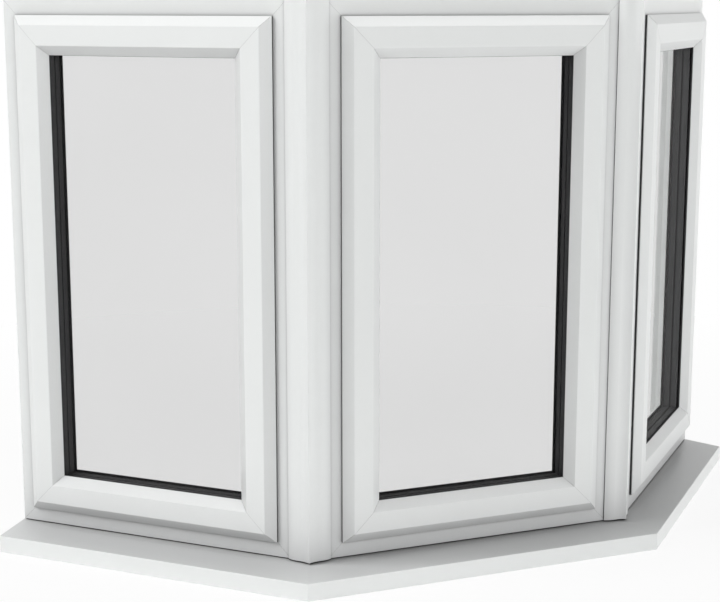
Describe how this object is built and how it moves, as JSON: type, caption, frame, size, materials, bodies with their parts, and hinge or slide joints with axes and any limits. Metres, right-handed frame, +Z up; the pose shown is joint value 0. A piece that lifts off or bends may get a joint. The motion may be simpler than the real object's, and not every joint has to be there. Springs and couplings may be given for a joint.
{
  "type": "three-light uPVC bay window with bay posts and cill",
  "caption": "White uPVC bay window with a front light and angled side lights, proud sashes, sealed glazing, bay posts and a bent, sloping cill.",
  "frame": {"origin": "on the underside of the cill, at the middle of the window's box in plan", "axes": "+Z up, the front light faces -Y, the room is towards +Y, +X runs to the right seen from outside"},
  "size_m": [1.7288, 0.5988, 1.1005],
  "materials": {
    "white_upvc": "smooth, soft gloss",
    "black_rubber": "matt",
    "float_glass": "polished, clear",
    "black_spacer": "satin",
    "mill_aluminium": "mill"
  },
  "bodies": {
    "root": {"left_frame_bottom_rail": "white_upvc", "left_frame_head": "white_upvc", "left_frame_left_jamb": "white_upvc", "left_frame_right_jamb": "white_upvc", "left_sash_bottom_rail": "white_upvc", "left_sash_top_rail": "white_upvc", "left_sash_left_stile": "white_upvc", "left_sash_right_stile": "white_upvc", "left_glazing_beads": "white_upvc", "left_gaskets": "black_rubber", "left_glass_panes": "float_glass", "left_spacer_bars": "black_spacer", "front_frame_bottom_rail": "white_upvc", "front_frame_head": "white_upvc", "front_frame_left_jamb": "white_upvc", "front_frame_right_jamb": "white_upvc", "front_sash_bottom_rail": "white_upvc", "front_sash_top_rail": "white_upvc", "front_sash_left_stile": "white_upvc", "front_sash_right_stile": "white_upvc", "front_glazing_beads": "white_upvc", "front_gaskets": "black_rubber", "front_glass_panes": "float_glass", "front_spacer_bars": "black_spacer", "right_frame_bottom_rail": "white_upvc", "right_frame_head": "white_upvc", "right_frame_left_jamb": "white_upvc", "right_frame_right_jamb": "white_upvc", "right_sash_bottom_rail": "white_upvc", "right_sash_top_rail": "white_upvc", "right_sash_left_stile": "white_upvc", "right_sash_right_stile": "white_upvc", "right_glazing_beads": "white_upvc", "right_gaskets": "black_rubber", "right_glass_panes": "float_glass", "right_spacer_bars": "black_spacer", "left_post_tube": "mill_aluminium", "left_post_outer_cover": "white_upvc", "left_post_inner_cover": "white_upvc", "right_post_tube": "mill_aluminium", "right_post_outer_cover": "white_upvc", "right_post_inner_cover": "white_upvc", "front_cill": "white_upvc", "left_cill": "white_upvc", "right_cill": "white_upvc", "cill_end_caps": "white_upvc"}
  },
  "joints": []
}
